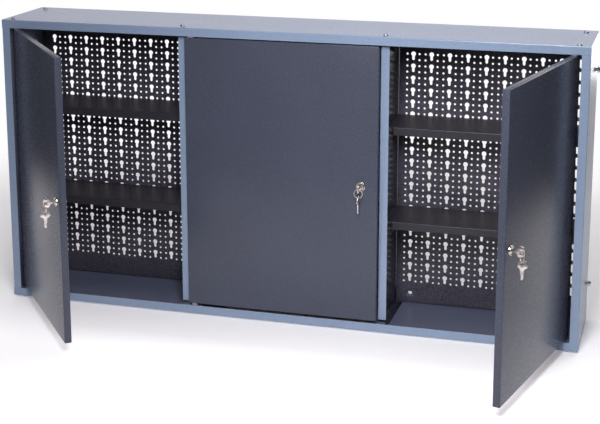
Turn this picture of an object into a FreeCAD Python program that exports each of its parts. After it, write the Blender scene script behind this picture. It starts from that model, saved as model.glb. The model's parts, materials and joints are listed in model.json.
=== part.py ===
import FreeCAD, Part
import math
import os

# Three-door hanging wall cabinet in folded sheet steel, in millimetres.
# +Z is up, the doors face -Y, the wall is the plane Y = 0, and the origin is the
# centre of the wall fixing holes. Depths are measured inwards from the front plane.

# ---------------------------------------------------------------- carcass
width = 1200.0            # over the side panels
height = 600.0            # over the top and bottom panels
depth = 190.0             # front plane to wall
middle_bay = 400.0        # between the webs of the two dividers
sheet = 1.2               # carcass sheet thickness
bend = 2.0                # outside radius of a carcass fold
lip = 17.0                # visible front lips of the carcass
seam = 0.3                # gap where two lips butt
wall_lip = 32.0           # lips of the top and bottom panels that lie on the wall
side_wall_lip = 20.0      # lips of the side panels that lie on the wall
side_flange = 34.0        # flanges of the side panels under the top and over the bottom
flange_set_in = 4.0       # those flanges stop short of the front and wall planes

# ---------------------------------------------------------------- dividers
divider_setback = 14.3    # front plane to the divider's front flange
divider_flange = 17.0     # width of the front flange and of the end flanges
divider_end_gap = 4.3     # between the front flange and the foot plates
divider_rear_gap = 12.0   # between the end flanges and the wall plane

# ---------------------------------------------------------------- perforated back panels
panel_sheet = 1.0
panel_bend = 1.2          # flat that eases the panel's front edges
panel_standoff = 9.5      # wall plane to the face of the back panels
panel_gap = 0.9           # between a back panel and the webs beside it
panel_end_gap = 0.6       # between a back panel and the flanges above and below it
column_pitch = 37.5       # keyhole columns
row_pitch = 25.0          # keyhole rows
column_margin = 31.0      # least distance from the last column to the bay's nominal side
row_margin = 62.0         # least distance from the last row to the cabinet's top or bottom
keyhole_head = 9.2        # width of a keyhole at its head
keyhole_neck = 5.0        # width of a keyhole at its foot
keyhole_height = 16.5
wall_hole = 8.0           # diameter of the wall fixing holes
wall_hole_edge = 22.0     # from the cabinet's top or bottom to a wall fixing hole
panel_slot_width = 16.0   # the panel is slotted over each wall fixing hole
panel_slot_height = 11.0

# ---------------------------------------------------------------- shelves
shelf_sheet = 1.0
shelf_bend = 1.8          # outside radius of a shelf fold
shelf_setback = 57.0      # front plane to the shelf's front lip
shelf_lip = 17.0
shelf_hem = 8.0           # return behind the front lip
shelf_rear_lip = 12.0
shelf_back_gap = 1.5      # between a shelf and the back panel
shelf_side_gap = 1.0      # between a shelf and the webs beside it
lip_relief = 16.0         # how much shorter the lips are than the shelf, at each end
lower_shelf_top = 215.5   # above the cabinet's underside
shelf_spacing = 195.0
shelf_count = 2
clip_sheet = 1.5
clip_width = 18.0
clip_leg = 12.0
clip_inset = 20.0         # from a shelf's front or back edge to the clip

# ---------------------------------------------------------------- doors
door_sheet = 1.0
door_bend = 1.2           # flat that eases the door's outer edges
door_thickness = 14.0
door_return = 12.0        # inner lips of the door pan
door_top_gap = 2.5
door_bottom_gap = 5.0
side_door_gap = 1.5       # between a side lip and a door's hinge edge
side_door_overlap = 9.0   # how far a side door covers the divider's flange
middle_door_gap = 1.0     # between a web line and the middle door, each side
pivot_inset = 12.0        # hinge edge to the pivot axis
left_open_angle = 51.4    # how far the left door stands open
right_open_angle = 77.3   # how far the right door stands open

# ---------------------------------------------------------------- pivots
plate_gap = 0.5           # between a foot plate and the divider behind it
plate_leg = 11.0          # leg of the plate down the back of the lip
plate_reach = 14.0        # past the pivot axis
pin_radius = 3.0
pin_inside = 5.5          # length of the pin inside the door
bush_half_width = 4.2     # square stem that snaps into the door
bush_flange = 5.4         # half width of its square flange
bush_fit = 0.05           # radial clearance on the pin
bush_gap = 0.3            # between the bush flange and the plate
bush_inside = 4.0         # length of the bush inside the door

# ---------------------------------------------------------------- cam locks
rose_radius = 9.5
rose_height = 3.0
rose_chamfer = 0.8
lock_body_radius = 8.0
lock_flat = 6.7           # half the width across the two flats of the body
lock_body_length = 15.6   # behind the door's face
lock_fit = 0.15           # clearance of the body in the door's hole
plug_radius = 5.5
plug_fit = 0.05
plug_recess = 0.4         # front of the plug below the front of the rose
lock_inset_side = 25.0    # free edge to the lock axis, side doors
lock_inset_middle = 33.0  # the same on the middle door
cam_sheet = 2.0
cam_width = 12.0
cam_corner = 2.0
cam_catch = 8.0           # how far a cam reaches past the edge that it catches on
cam_gap = 0.7             # between a cam and the flange in front of it
slot_play = 1.3           # round the cam where it goes through the right divider
tang = 6.0                # square end of the plug that turns the cam
tang_fit = 0.05
turned_sides = 16         # flats that stand for the round of a small turned piece

# ---------------------------------------------------------------- keys
key_sheet = 2.0
key_fit = 0.1
blade_height = 5.5
blade_inside = 9.0        # tip of the blade behind the door's face
blade_end_gap = 0.6       # between the blade's tip and the end of the keyway
shank_length = 8.7        # from the rose to the bow
shank_height = 10.0       # where it meets the bow
bow_length = 14.0
bow_width = 20.5
key_eye_radius = 1.9
key_eye_inset = 3.7       # end of the bow to the centre of the eye
ring_radius = 9.0
ring_wire = 1.2           # radial width of the split ring's flat wire
ring_height = 1.6
ring_gap = 0.12           # between the ring and the edge of an eye

# ---------------------------------------------------------------- worked-out places
half_width = width / 2
half_height = height / 2
bay_edge = middle_bay / 2
front = -depth
sheet_end = half_height - sheet
panel_half_height = sheet_end - sheet - panel_end_gap
panel_face = -panel_standoff
plate_top = -half_height + lip
door_bottom = plate_top + door_bottom_gap
door_top = half_height - lip - door_top_gap
pivot_y = front + door_thickness / 2
side_pivot_x = half_width - lip - side_door_gap - pivot_inset
side_free_x = bay_edge + divider_flange - side_door_overlap
side_door_width = side_pivot_x + pivot_inset - side_free_x
middle_pivot_x = bay_edge - middle_door_gap - pivot_inset
middle_door_width = middle_bay - 2 * middle_door_gap
flange_back = divider_setback + sheet
cam_front = flange_back + cam_gap
cam_back = cam_front + cam_sheet
side_cam_reach = lock_inset_side - side_door_overlap + cam_catch
middle_cam_reach = lock_inset_middle + middle_door_gap + cam_catch


# ---------------------------------------------------------------- shape helpers
def box(x0, x1, y0, y1, z0, z1):
    """Block between two corners."""
    corner = FreeCAD.Vector(x0, y0, z0)
    return Part.makeBox(x1 - x0, y1 - y0, z1 - z0, corner)


def rod(radius, x, y, z, length, direction):
    """Cylinder from a point along a direction."""
    return Part.makeCylinder(radius, length, FreeCAD.Vector(x, y, z), FreeCAD.Vector(*direction))


def turned(radius, y0, y1, outside=True):
    """Small turned piece on the Y axis, drawn with flats that touch the radius."""
    corner = radius if outside else radius / math.cos(math.pi / turned_sides)
    angles = [2 * math.pi * (step + 0.5) / turned_sides for step in range(turned_sides + 1)]
    points = [FreeCAD.Vector(corner * math.cos(a), y0, corner * math.sin(a)) for a in angles]
    return Part.Face(Part.makePolygon(points)).extrude(FreeCAD.Vector(0, y1 - y0, 0))


def fold_line(path, offset, thickness, radius):
    """One face of a folded sheet: straight runs, with two short flats round each fold."""
    runs = [(b - a).normalize() for a, b in zip(path, path[1:])]
    sides = [FreeCAD.Vector(-run.y, run.x, 0) for run in runs]
    points = [path[0] + sides[0] * offset]
    for corner, before, after, side, next_side in zip(path[1:], runs, runs[1:], sides, sides[1:]):
        turn = before.cross(after).z
        arc_radius = radius - offset if turn > 0 else radius - thickness + offset
        point = corner + (side + next_side) * (offset / (1 + side.dot(next_side)))
        back = arc_radius * math.tan(before.getAngle(after) / 2)
        entry = point - before * back
        leave = point + after * back
        centre = entry + side * (arc_radius if turn > 0 else -arc_radius)
        middle = centre + (point - centre).normalize() * arc_radius
        points += [entry, middle, leave]
    return points + [path[-1] + sides[-1] * offset]


def folded(points, thickness, radius, axis, start, end):
    """Sheet folded along a path, its thickness to the left, drawn out along an axis."""
    path = [FreeCAD.Vector(u, v, 0) for u, v in points]
    near = fold_line(path, 0, thickness, radius)
    far = fold_line(path, thickness, thickness, radius)
    places = {"x": lambda p: FreeCAD.Vector(start, p.x, p.y),
              "y": lambda p: FreeCAD.Vector(p.x, start, p.y),
              "z": lambda p: FreeCAD.Vector(p.x, p.y, start)}
    directions = {"x": (1, 0, 0), "y": (0, 1, 0), "z": (0, 0, 1)}
    outline = [places[axis](point) for point in near + far[::-1] + near[:1]]
    face = Part.Face(Part.makePolygon(outline))
    return face.extrude(FreeCAD.Vector(*directions[axis]) * (end - start))


def ease_rims(solid, levels, size):
    """Chamfer the edges of a block that lie in the given planes of constant Y."""
    def in_plane(edge, level):
        return all(abs(vertex.Y - level) < 1e-6 for vertex in edge.Vertexes)
    rims = [edge for edge in solid.Edges if any(in_plane(edge, level) for level in levels)]
    return solid.makeChamfer(size, rims)


def mirrored(shape, normal):
    return shape.mirror(FreeCAD.Vector(0, 0, 0), FreeCAD.Vector(*normal))


def joined(shapes):
    """Shapes fused into one solid."""
    whole = shapes[0].fuse(shapes[1:])
    return whole.removeSplitter()


# ---------------------------------------------------------------- places of holes
def centred(count, pitch):
    """Places of evenly spaced copies about zero."""
    return [(index - (count - 1) / 2) * pitch for index in range(count)]


def keyhole_columns(bay_width):
    return centred(int((bay_width - 2 * column_margin) / column_pitch) + 1, column_pitch)


def keyhole_rows():
    return centred(int((height - 2 * row_margin) / row_pitch) + 1, row_pitch)


side_bay_middle = (half_width + bay_edge) / 2
side_columns = [side_bay_middle + x for x in keyhole_columns(half_width - bay_edge)]
wall_hole_x = side_columns[0]
wall_hole_z = half_height - wall_hole_edge


# ---------------------------------------------------------------- carcass
def top_panel():
    """Top sheet folded down at the front and along the wall, with the wall fixing holes."""
    path = [(front, half_height - lip), (front, half_height), (0, half_height),
            (0, half_height - wall_lip)]
    panel = folded(path[::-1], sheet, bend, "x", -half_width, half_width)
    return panel.cut([rod(wall_hole / 2, x, sheet, wall_hole_z, 3 * sheet, (0, -1, 0))
                      for x in (-wall_hole_x, wall_hole_x)])


def right_side_panel():
    """Web with lips at the front and the wall and flanges at the top and bottom."""
    inner = half_width - side_flange
    channel = folded([(inner, -sheet_end), (half_width, -sheet_end),
                      (half_width, sheet_end), (inner, sheet_end)],
                     sheet, bend, "y", front + flange_set_in, -flange_set_in)
    lip_end = half_height - lip - seam
    front_lip = folded([(half_width - lip, front), (half_width, front),
                        (half_width, front + side_flange)], sheet, bend, "z", -lip_end, lip_end)
    wall_end = half_height - wall_lip - seam
    rear_lip = folded([(half_width, -side_flange), (half_width, 0),
                       (half_width - side_wall_lip, 0)], sheet, bend, "z", -wall_end, wall_end)
    return joined([channel, front_lip, rear_lip])


def right_divider():
    """Web with a front flange and end flanges, all turned away from the middle bay."""
    edge = bay_edge + divider_flange
    flange_front = front + divider_setback
    channel = folded([(edge, sheet_end), (bay_edge, sheet_end),
                      (bay_edge, -sheet_end), (edge, -sheet_end)],
                     sheet, bend, "y", flange_front + bend, -divider_rear_gap)
    flange_end = half_height - lip - divider_end_gap
    front_flange = folded([(bay_edge, front + depth / 2), (bay_edge, flange_front),
                           (edge, flange_front)], sheet, bend, "z", -flange_end, flange_end)
    rear_edge = box(bay_edge, bay_edge + sheet, front + depth / 2, -sheet,
                    -panel_half_height, panel_half_height)
    return joined([channel, front_flange, rear_edge])


def cam_slot():
    """Opening in the right divider that lets the middle door's cam swing through."""
    corner_reach = math.hypot(middle_cam_reach, cam_width / 2)
    drop = math.sqrt(corner_reach ** 2 - (middle_cam_reach - cam_catch) ** 2)
    return box(bay_edge - 1, bay_edge + 2 * sheet, front + cam_front - cam_gap / 2,
               front + cam_back + slot_play, -drop - slot_play, cam_width / 2 + slot_play)


# ---------------------------------------------------------------- back panels
def keyhole(x, z):
    """Opening of one keyhole: wide at the head, narrow at the foot."""
    top = z + keyhole_head / 2
    foot = top - keyhole_height
    points = [(x - keyhole_head / 2, top), (x + keyhole_head / 2, top),
              (x + keyhole_neck / 2, foot), (x - keyhole_neck / 2, foot),
              (x - keyhole_head / 2, top)]
    outline = [FreeCAD.Vector(u, panel_face - 1, v) for u, v in points]
    return Part.Face(Part.makePolygon(outline)).extrude(FreeCAD.Vector(0, 2 + panel_sheet, 0))


def back_panel(left, right, columns):
    """Perforated pan whose edges are returned to the wall lips."""
    z = panel_half_height
    block = ease_rims(box(left, right, panel_face, -sheet, -z, z), [panel_face], panel_bend)
    inside = box(left + panel_sheet, right - panel_sheet, panel_face + panel_sheet, 0,
                 -z + panel_sheet, z - panel_sheet)
    keyholes = [keyhole(x, row) for x in columns for row in keyhole_rows()]
    return block.cut([inside] + keyholes)


def panel_slots():
    """Openings in a side bay's panel that clear the washers of the wall fixings."""
    half = panel_slot_width / 2
    low = wall_hole_z - panel_slot_height / 2
    slot = box(wall_hole_x - half, wall_hole_x + half, panel_face - 1, 0,
               low, low + panel_slot_height)
    return [slot, mirrored(slot, (0, 0, 1))]


# ---------------------------------------------------------------- shelves
def shelf(left, right, top):
    """Shelf with a hemmed front lip and a rear lip, both short of the webs."""
    nose = front + shelf_setback
    rear = panel_face - shelf_back_gap
    path = [(nose + shelf_hem, top - shelf_lip), (nose, top - shelf_lip), (nose, top),
            (rear, top), (rear, top - shelf_rear_lip)]
    tray = folded(path[::-1], shelf_sheet, shelf_bend, "x", left, right)
    under = top - shelf_sheet
    notches = [box(x0, x1, nose - 1, rear + 1, top - shelf_lip - 1, under)
               for x0, x1 in ((left - 1, left + lip_relief), (right - lip_relief, right + 1))]
    corners = [box(x0, x1, y0, y1, under - 1, top + 1)
               for x0, x1 in ((left - 1, left + lip_relief), (right - lip_relief, right + 1))
               for y0, y1 in ((nose - 1, nose + shelf_bend), (rear - shelf_bend, rear + 1))]
    return tray.cut(notches + corners)


def shelf_tops():
    return [-half_height + lower_shelf_top + shelf_spacing * step for step in range(shelf_count)]


def shelf_clips(left, right):
    """Angle clips on the webs of one bay, four under each shelf."""
    clips = []
    ends = (front + shelf_setback + clip_inset,
            panel_face - shelf_back_gap - clip_inset - clip_width)
    for top in shelf_tops():
        under = top - shelf_sheet
        for start in ends:
            for web, inward in ((left, 1), (right, -1)):
                leaf = sorted((web, web + inward * clip_leg))
                leg = sorted((web, web + inward * clip_sheet))
                end = start + clip_width
                clips.append(joined([box(*leaf, start, end, under - clip_sheet, under),
                                     box(*leg, start, end, under - clip_leg, under)]))
    return Part.makeCompound(clips)


# ---------------------------------------------------------------- pivots
def foot_plate(left, right, pivot_x=None):
    """Angle behind the bottom lip, level with its upper edge, with a pin riveted in it."""
    lip_back = front + sheet
    rear = front + divider_setback - plate_gap
    path = [(lip_back, plate_top - plate_leg), (lip_back, plate_top), (rear, plate_top)]
    plate = folded(path[::-1], sheet, bend, "x", left, right)
    if pivot_x is None:
        return plate
    length = sheet + door_bottom_gap + pin_inside
    return joined([plate, rod(pin_radius, pivot_x, pivot_y, plate_top - sheet, length, (0, 0, 1))])


def plate_pair(left, right, pivot_x=None):
    """The same plate behind the bottom lip and the top lip."""
    plate = foot_plate(left, right, pivot_x)
    return Part.makeCompound([plate, mirrored(plate, (0, 0, 1))])


def square_post(half, z0, z1):
    return box(-half, half, -half, half, z0, z1)


def door_bush(edge, gap):
    """Square flanged bush in a door's lower edge, bored for the pin."""
    flange = square_post(bush_flange, edge - gap + bush_gap, edge)
    stem = square_post(bush_half_width, edge, edge + bush_inside)
    bore = rod(pin_radius + bush_fit, 0, 0, edge - gap, gap + bush_inside + 1, (0, 0, 1))
    return joined([flange, stem]).cut(bore)


# ---------------------------------------------------------------- lock parts, on the Y axis
def lock_section(clearance, y0, y1):
    """Round with two flats, the section of a lock body and of its hole."""
    barrel = turned(lock_body_radius + clearance, y0, y1)
    flat = lock_flat + clearance
    reach = lock_body_radius + 1
    return barrel.common(box(-flat, flat, y0, y1, -reach, reach))


def lock_housing():
    rose = ease_rims(turned(rose_radius, -rose_height, 0), [-rose_height], rose_chamfer)
    bore = turned(plug_radius + plug_fit, -2 * rose_height, 2 * lock_body_length, outside=False)
    return joined([rose, lock_section(0, 0, lock_body_length)]).cut(bore)


def lock_plug():
    """Plug with a keyway in front and a square tang behind."""
    face = plug_recess - rose_height
    half = tang / 2
    square = box(-half, half, cam_front, cam_back, -half, half)
    gap = key_sheet / 2 + key_fit
    tall = blade_height / 2 + key_fit
    keyway = box(-gap, gap, face, blade_inside + blade_end_gap, -tall, tall)
    return joined([turned(plug_radius, face, cam_front), square]).cut(keyway)


def cam(reach):
    """Flat cam that hangs down from the plug's tang."""
    half = cam_width / 2
    arm = box(-half, half, cam_front, cam_back, -reach, half)
    corners = [edge for edge in arm.Edges if abs(edge.tangentAt(edge.FirstParameter).y) > 0.5]
    hole = tang / 2 + tang_fit
    square = box(-hole, hole, cam_front - 1, cam_back + 1, -hole, hole)
    return arm.makeChamfer(cam_corner, corners).cut(square)


# ---------------------------------------------------------------- keys
eye_out = rose_height + shank_length + bow_length - key_eye_inset
ring_drop = math.sqrt((key_eye_radius - ring_gap) ** 2 - (ring_height / 2) ** 2) - ring_wire / 2
ring_centre_drop = ring_drop + ring_radius - ring_wire / 2


def hanging_key():
    """Flat key with its blade down, its thickness along X and its eye on the origin."""
    half = key_sheet / 2
    radius = bow_length / 2
    spread = bow_width / 2 - radius
    middle = key_eye_inset - radius
    bow_foot = key_eye_inset - bow_length
    lobe = turned(radius, -half, half)
    lobe.translate(FreeCAD.Vector(0, 0, middle))
    lobes = [lobe.translated(FreeCAD.Vector(x, 0, 0)) for x in (-spread, spread)]
    bridge = box(-spread, spread, -half, half, bow_foot, key_eye_inset)
    tall = blade_height / 2
    tip = -eye_out - blade_inside
    side = [(shank_height / 2, bow_foot + half), (tall, -eye_out + rose_height),
            (tall, tip + tall), (tall / 2, tip)]
    outline = side + [(-x, z) for x, z in side[::-1]] + side[:1]
    stem = Part.Face(Part.makePolygon([FreeCAD.Vector(x, -half, z) for x, z in outline]))
    stem = stem.extrude(FreeCAD.Vector(0, key_sheet, 0))
    eye = turned(key_eye_radius, -key_sheet, key_sheet, outside=False)
    flat = joined(lobes + [bridge, stem]).cut(eye)
    flat.rotate(FreeCAD.Vector(0, 0, 0), FreeCAD.Vector(0, 0, 1), 90)
    return flat


def key():
    """The key in its lock: blade inside, bow upright and square to the door."""
    shape = hanging_key()
    shape.rotate(FreeCAD.Vector(0, 0, 0), FreeCAD.Vector(1, 0, 0), 90)
    shape.translate(FreeCAD.Vector(0, -eye_out, 0))
    return shape


def key_ring():
    """Flat-wire ring that hangs in the eye of the key."""
    half = ring_height / 2
    inner = turned(ring_radius - ring_wire, -ring_height, ring_height, outside=False)
    ring = turned(ring_radius, -half, half).cut(inner)
    ring.translate(FreeCAD.Vector(0, -eye_out, -ring_centre_drop))
    return ring


def spare_key():
    """The same key, hanging from the ring."""
    shape = hanging_key()
    shape.translate(FreeCAD.Vector(0, -eye_out, -2 * ring_centre_drop))
    return shape


# ---------------------------------------------------------------- doors
def door_pan(hinge_x, free_x, pivot_x, lock_x):
    """Door pan with lips folded back all round and holes for the lock and bushes."""
    left, right = sorted((hinge_x, free_x))
    back = front + door_thickness
    block = ease_rims(box(left, right, front, back, door_bottom, door_top), [front], door_bend)
    inside = box(left + door_sheet, right - door_sheet, front + door_sheet, back - door_sheet,
                 door_bottom + door_sheet, door_top - door_sheet)
    window = box(left + door_return, right - door_return, back - 2 * door_sheet, back + 1,
                 door_bottom + door_return, door_top - door_return)
    bush_holes = [square_post(bush_half_width, edge - door_sheet, edge + door_sheet)
                  for edge in (door_bottom, door_top)]
    for hole in bush_holes:
        hole.translate(FreeCAD.Vector(pivot_x, pivot_y, 0))
    lock_hole = lock_section(lock_fit, -1, 2 * door_sheet)
    lock_hole.translate(FreeCAD.Vector(lock_x, front, 0))
    return block.cut([inside, window, lock_hole] + bush_holes)


def door_set(name, pivot_x, side, door_width, lock_inset, cam_reach, open_angle):
    """All pieces that move with one door; side is the way from its pivot to its free edge."""
    hinge_x = pivot_x - side * pivot_inset
    free_x = hinge_x + side * door_width
    lock_x = free_x - side * lock_inset
    lower = door_bush(door_bottom, door_bottom_gap)
    upper = mirrored(door_bush(-door_top, door_top_gap), (0, 0, 1))
    bushes = Part.makeCompound([lower, upper])
    bushes.translate(FreeCAD.Vector(pivot_x, pivot_y, 0))
    pieces = {name + "_lock_housing": lock_housing(),
              name + "_lock_plug": lock_plug(),
              name + "_lock_cam": cam(cam_reach),
              name + "_key": key(),
              name + "_key_ring": key_ring(),
              name + "_spare_key": spare_key()}
    for piece in pieces.values():
        piece.translate(FreeCAD.Vector(lock_x, front, 0))
    pieces[name + "_door"] = door_pan(hinge_x, free_x, pivot_x, lock_x)
    pieces[name + "_door_bushes"] = bushes
    for piece in pieces.values():
        piece.rotate(FreeCAD.Vector(pivot_x, pivot_y, 0), FreeCAD.Vector(0, 0, 1),
                     -side * open_angle)
    return pieces


# ---------------------------------------------------------------- assembly
def build():
    """Every node of the cabinet by name."""
    top = top_panel()
    side = right_side_panel()
    divider = right_divider()
    nodes = {"top_panel": top,
             "bottom_panel": mirrored(top, (0, 0, 1)),
             "right_side_panel": side,
             "left_side_panel": mirrored(side, (1, 0, 0)),
             "right_divider": divider.cut(cam_slot()),
             "left_divider": mirrored(divider, (1, 0, 0))}

    inner = bay_edge + sheet
    outer = half_width - sheet
    side_back = back_panel(inner + panel_gap, outer - panel_gap, side_columns).cut(panel_slots())
    nodes["right_back_panel"] = side_back
    nodes["left_back_panel"] = mirrored(side_back, (1, 0, 0))
    # the middle panel's keyholes, behind the closed door, are left to the finished look
    nodes["middle_back_panel"] = back_panel(-bay_edge + panel_gap, bay_edge - panel_gap, [])

    bays = {"left": (-outer, -inner), "middle": (-bay_edge, bay_edge), "right": (inner, outer)}
    levels = dict(zip(("lower", "upper"), shelf_tops()))
    for bay, (left, right) in bays.items():
        for level, top_z in levels.items():
            nodes[bay + "_" + level + "_shelf"] = shelf(left + shelf_side_gap,
                                                        right - shelf_side_gap, top_z)
        nodes[bay + "_shelf_clips"] = shelf_clips(left, right)

    side_plates = plate_pair(side_pivot_x - plate_reach, outer, side_pivot_x)
    nodes["right_pivot_plates"] = side_plates
    nodes["left_pivot_plates"] = mirrored(side_plates, (1, 0, 0))
    nodes["middle_pivot_plates"] = plate_pair(-bay_edge - divider_flange,
                                              plate_reach - middle_pivot_x, -middle_pivot_x)
    nodes["divider_foot_plates"] = plate_pair(bay_edge, bay_edge + divider_flange)

    nodes.update(door_set("left", -side_pivot_x, 1, side_door_width, lock_inset_side,
                          side_cam_reach, left_open_angle))
    nodes.update(door_set("middle", -middle_pivot_x, 1, middle_door_width, lock_inset_middle,
                          middle_cam_reach, 0))
    nodes.update(door_set("right", side_pivot_x, -1, side_door_width, lock_inset_side,
                          side_cam_reach, right_open_angle))
    return nodes


os.makedirs("parts", exist_ok=True)
for node_name, node_shape in build().items():
    node_shape.exportStep("parts/" + node_name + ".step")
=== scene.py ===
# %% [markdown]
# # A three-door hanging wall cabinet
# The real object is a wide, shallow workshop cabinet folded from sheet steel. A light grey-blue
# carcass holds three perforated back panels, six shelves and three anthracite doors with cam locks.
# The CAD model is the fixed frame of this scene: it gives every size and every joint. Each step
# below adds a finish, or a fine piece in place of a plain CAD solid, and never changes a size.

# %% Frame
import json
import math

import bmesh
import bpy
from mathutils import Matrix, Vector


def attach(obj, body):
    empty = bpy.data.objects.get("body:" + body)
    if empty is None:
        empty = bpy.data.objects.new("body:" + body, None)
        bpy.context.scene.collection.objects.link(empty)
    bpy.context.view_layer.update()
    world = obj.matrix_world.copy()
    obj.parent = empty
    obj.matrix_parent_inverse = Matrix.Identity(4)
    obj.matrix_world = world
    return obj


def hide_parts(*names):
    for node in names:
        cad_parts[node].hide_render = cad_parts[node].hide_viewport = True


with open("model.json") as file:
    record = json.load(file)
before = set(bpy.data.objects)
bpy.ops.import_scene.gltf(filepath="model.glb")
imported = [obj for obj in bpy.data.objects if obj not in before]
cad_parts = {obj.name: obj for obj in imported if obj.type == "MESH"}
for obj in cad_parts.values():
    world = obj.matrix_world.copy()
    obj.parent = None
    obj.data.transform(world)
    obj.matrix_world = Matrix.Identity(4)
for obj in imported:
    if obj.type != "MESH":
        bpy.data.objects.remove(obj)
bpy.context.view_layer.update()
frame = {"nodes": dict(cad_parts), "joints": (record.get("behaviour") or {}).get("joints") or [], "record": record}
scene = bpy.context.scene
MM = 0.001

# %% [markdown]
# ## Places that the pieces share
# The frame works in metres, but sheet metal is thought of in millimetres, so every piece is drawn
# in millimetres and scaled once when it is handed over. Sizes that the CAD solids already hold are
# measured from them, so a fine piece always fits the solid that it stands for.

# %% Carcass sizes, in millimetres
def corners_of(places):
    """Lowest and highest corner of some points."""
    return [Vector([pick(place[axis] for place in places) for axis in range(3)])
            for pick in (min, max)]


def box_of(node, turn=Matrix()):
    """Lowest and highest corner of a CAD solid in millimetres; it may be turned first."""
    places = [turn @ (vert.co / MM) for vert in frame["nodes"][node].data.vertices]
    return [Vector([round(value, 2) for value in corner]) for corner in corners_of(places)]


FRONT = box_of("top_panel")[0].y
HALF_WIDTH, _, HALF_HEIGHT = box_of("top_panel")[1]
BAY_EDGE = box_of("right_divider")[0].x
SHEET = -box_of("right_divider")[1].y
print("carcass:", 2 * HALF_WIDTH, "x", 2 * HALF_HEIGHT, "x", -FRONT, "mm of", round(SHEET, 2),
      "mm sheet, dividers at", BAY_EDGE)

# %% [markdown]
# ## Doors and locks in place
# A door's lock, key and ring sit in the same local space: X runs along the door, Y into it and Z
# up, with the origin on the lock's axis at the door's face. The joints of the frame say where that
# space is and how far the door stands open. A door's own size is measured on its CAD solid after
# that is turned shut again.

# %% Door and lock places
DOORS = ("left", "middle", "right")
joints = {joint["name"]: joint for joint in frame["joints"]}


def door_turn(name):
    """Pivot in mm, side of the free edge (+1 is towards +X), and the angle it stands open by."""
    hinge = joints[name + "_door_hinge"]
    side = -hinge["axis"][2]
    return Vector(hinge["pos_m"]) / MM, side, side * math.radians(hinge["range_deg"][0])


def turn_about(pivot, angle):
    """Matrix that turns about an upright axis through a point."""
    return Matrix.Translation(pivot) @ Matrix.Rotation(angle, 4, "Z") @ Matrix.Translation(-pivot)


def lock_space(name):
    """Matrix from the lock's local space to the frame."""
    place = Vector(joints[name + "_lock_turn"]["pos_m"]) / MM
    return Matrix.Translation(place) @ Matrix.Rotation(door_turn(name)[2], 4, "Z")


for door in DOORS:
    pivot, side, angle = door_turn(door)
    shut = box_of(door + "_door", turn_about(pivot, -angle))
    print(door, "door is", round((shut[1] - shut[0]).x, 2), "mm wide and stands open by",
          round(abs(math.degrees(angle)), 1), "degrees")

# %% [markdown]
# ## Camera
# The cabinet is seen from the right and a little above, from three metres away, through a short
# telephoto lens. A small downward shift keeps the uprights nearly parallel, as in product pictures.

# %% Camera
LENS_MM, LENS_SHIFT = 84.5, -0.16
CAMERA_PLACE = (0.781, -2.798, 0.741)
CAMERA_TILT, CAMERA_TURN = 0.22, 0.2763


def put_in_scene(name, data):
    """Object for a mesh, a lamp or a lens, linked to the scene."""
    made = bpy.data.objects.new(name, data)
    scene.collection.objects.link(made)
    return made


lens = bpy.data.cameras.new("camera")
lens.lens = LENS_MM
lens.shift_y = LENS_SHIFT
camera = put_in_scene("camera", lens)
camera.location = CAMERA_PLACE
camera.rotation_euler = (math.pi / 2 - CAMERA_TILT, 0, CAMERA_TURN)
scene.camera = camera
print("camera stands", round(camera.location.length, 2), "m from the cabinet's middle")

# %% [markdown]
# ## Colours and shader nodes
# Colours are written as the hex values that a picture editor shows, and one function turns them
# into the linear values that the shader needs. A second small function adds a shader node, sets it
# and links it, so each finish below reads as a short recipe. Most recipes let a noise choose
# between two shades or two degrees of gloss, which a third function spells out once.

# %% Helpers for finishes
def linear(code):
    """Linear RGBA of an sRGB hex colour."""
    channels = [int(code[start:start + 2], 16) / 255 for start in (1, 3, 5)]
    return [c / 12.92 if c <= 0.04045 else ((c + 0.055) / 1.055) ** 2.4 for c in channels] + [1]


def add_node(tree, kind, sockets=None, **settings):
    """Adds a node, sets its sockets or properties, and links or sets other sockets of it."""
    made = tree.nodes.new("ShaderNode" + kind)
    for name, value in settings.items():
        socket = made.inputs.get(name.replace("_", " "))
        if socket is None:
            setattr(made, name, value)
        else:
            socket.default_value = value
    for name, source in (sockets or {}).items():
        if isinstance(source, bpy.types.NodeSocket):
            tree.links.new(source, made.inputs[name])
        else:
            made.inputs[name].default_value = source
    return made


def between(tree, amount, start, end, low=0.3, high=0.7):
    """Goes from one number or hex colour to another as an amount goes from low to high."""
    if isinstance(start, str):
        share = add_node(tree, "MapRange", {"Value": amount}, From_Min=low, From_Max=high)
        colours = {0: share.outputs["Result"], 6: linear(start), 7: linear(end)}
        return add_node(tree, "Mix", colours, data_type="RGBA").outputs[2]
    return add_node(tree, "MapRange", {"Value": amount}, From_Min=low, From_Max=high,
                    To_Min=start, To_Max=end).outputs["Result"]


def new_finish(name):
    """Empty material, its node tree and the coordinates of the piece that it lies on."""
    material = bpy.data.materials.new(name)
    material.use_nodes = True
    tree = material.node_tree
    tree.nodes.clear()
    return material, tree, add_node(tree, "TexCoord").outputs["Object"]


print("middle grey #808080 is", round(linear("#808080")[0], 3), "in linear light")

# %% [markdown]
# ## Light outside, dark inside
# The carcass is light outside, but within the bays its coat lies in deep shade. Lamps alone don't
# get it that dark, because the pale floor throws light in, so that shade is painted into the finish
# as darker tones. A box test on the place of each point tells the two apart: half the box's size is
# subtracted from the distance to its middle, and a point is inside when nothing is left over on any axis.

# %% Box test
# Where the painted shade begins: just behind the sheet of the front lips, and of the front folds of the dividers,
# in millimetres.
BEHIND_LIPS = FRONT + SHEET + 0.4
BEHIND_FOLDS = box_of("right_divider")[0].y + SHEET + 0.5


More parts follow.
